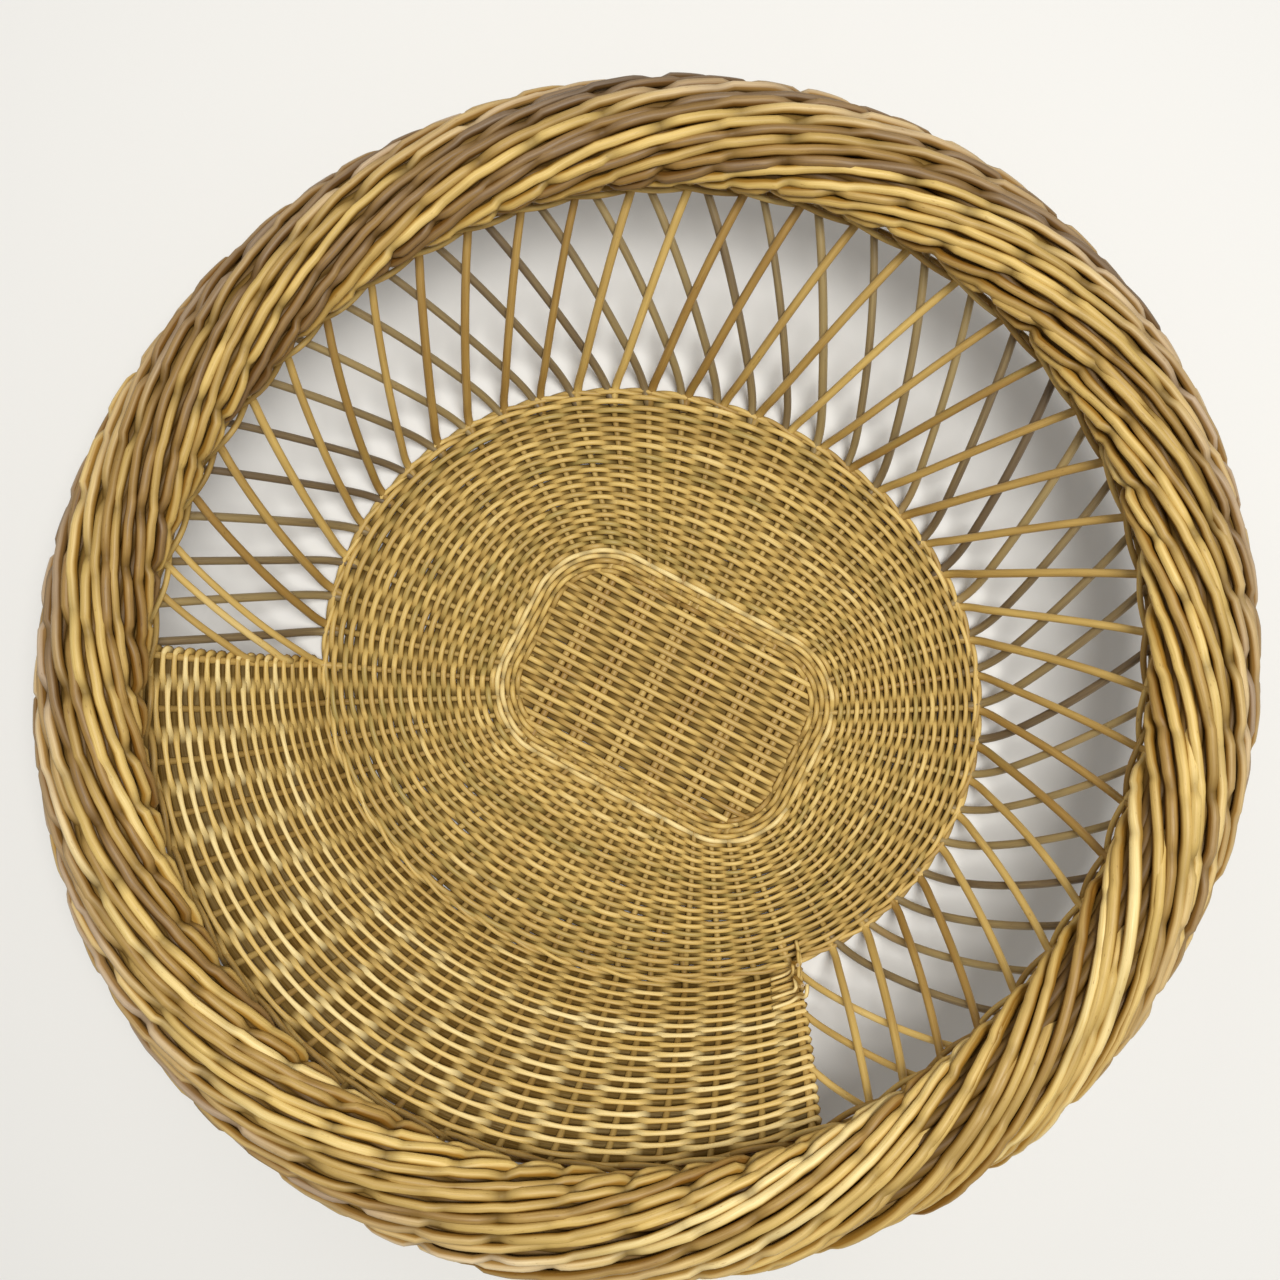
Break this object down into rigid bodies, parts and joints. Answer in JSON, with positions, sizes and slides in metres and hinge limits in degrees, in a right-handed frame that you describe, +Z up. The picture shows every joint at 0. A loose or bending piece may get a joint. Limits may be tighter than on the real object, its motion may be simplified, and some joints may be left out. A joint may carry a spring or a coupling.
{
  "type": "wicker pet bed basket",
  "caption": "Large shallow round wicker basket for a pet's bed, with an oval woven floor, an open rod lattice wall, one dense woven wall panel and a thick rolled border.",
  "frame": {"origin": "centre of the flat underside of the base, on the ground plane", "axes": "+Z up out of the open top, +X along the long axis of the oval base, dense woven panel on the -Y side"},
  "size_m": [0.6916, 0.7086, 0.1647],
  "materials": {
    "centre_mat": "satin peeled rod",
    "base_weave": "matt thin rod",
    "panel_weave": "matt thin rod",
    "wale": "satin rod",
    "lattice": "satin rod",
    "stakes": "satin rod",
    "border": "satin thick rod, some weathered grey"
  },
  "bodies": {
    "root": {"base_centre_mat": "centre_mat", "base_weave": "base_weave", "foot_wale": "wale", "front_weave": "panel_weave", "top_wale": "wale", "border": "border", "left_edge_stake": "stakes", "right_edge_stake": "stakes", "lattice_pair_01": "lattice", "lattice_pair_02": "lattice", "lattice_pair_03": "lattice", "lattice_pair_04": "lattice", "lattice_pair_05": "lattice", "lattice_pair_06": "lattice", "lattice_pair_07": "lattice", "lattice_pair_08": "lattice", "lattice_pair_09": "lattice", "lattice_pair_10": "lattice", "lattice_pair_11": "lattice", "lattice_pair_12": "lattice", "lattice_pair_13": "lattice", "lattice_pair_14": "lattice", "lattice_pair_15": "lattice", "lattice_pair_16": "lattice", "lattice_pair_17": "lattice", "lattice_pair_18": "lattice", "lattice_pair_19": "lattice", "lattice_pair_20": "lattice", "lattice_pair_21": "lattice", "lattice_pair_22": "lattice", "lattice_pair_23": "lattice", "lattice_pair_24": "lattice", "lattice_pair_25": "lattice", "lattice_pair_26": "lattice", "lattice_pair_27": "lattice", "lattice_pair_28": "lattice", "lattice_pair_29": "lattice", "lattice_pair_30": "lattice", "lattice_pair_31": "lattice", "lattice_pair_32": "lattice", "lattice_pair_33": "lattice", "lattice_pair_34": "lattice", "lattice_pair_35": "lattice", "front_stake_01": "stakes", "front_stake_02": "stakes", "front_stake_03": "stakes", "front_stake_04": "stakes", "front_stake_05": "stakes", "front_stake_06": "stakes", "front_stake_07": "stakes", "front_stake_08": "stakes", "front_stake_09": "stakes", "front_stake_10": "stakes", "front_stake_11": "stakes", "front_stake_12": "stakes", "front_stake_13": "stakes", "front_stake_14": "stakes", "front_stake_15": "stakes", "front_stake_16": "stakes", "front_stake_17": "stakes"}
  },
  "joints": []
}
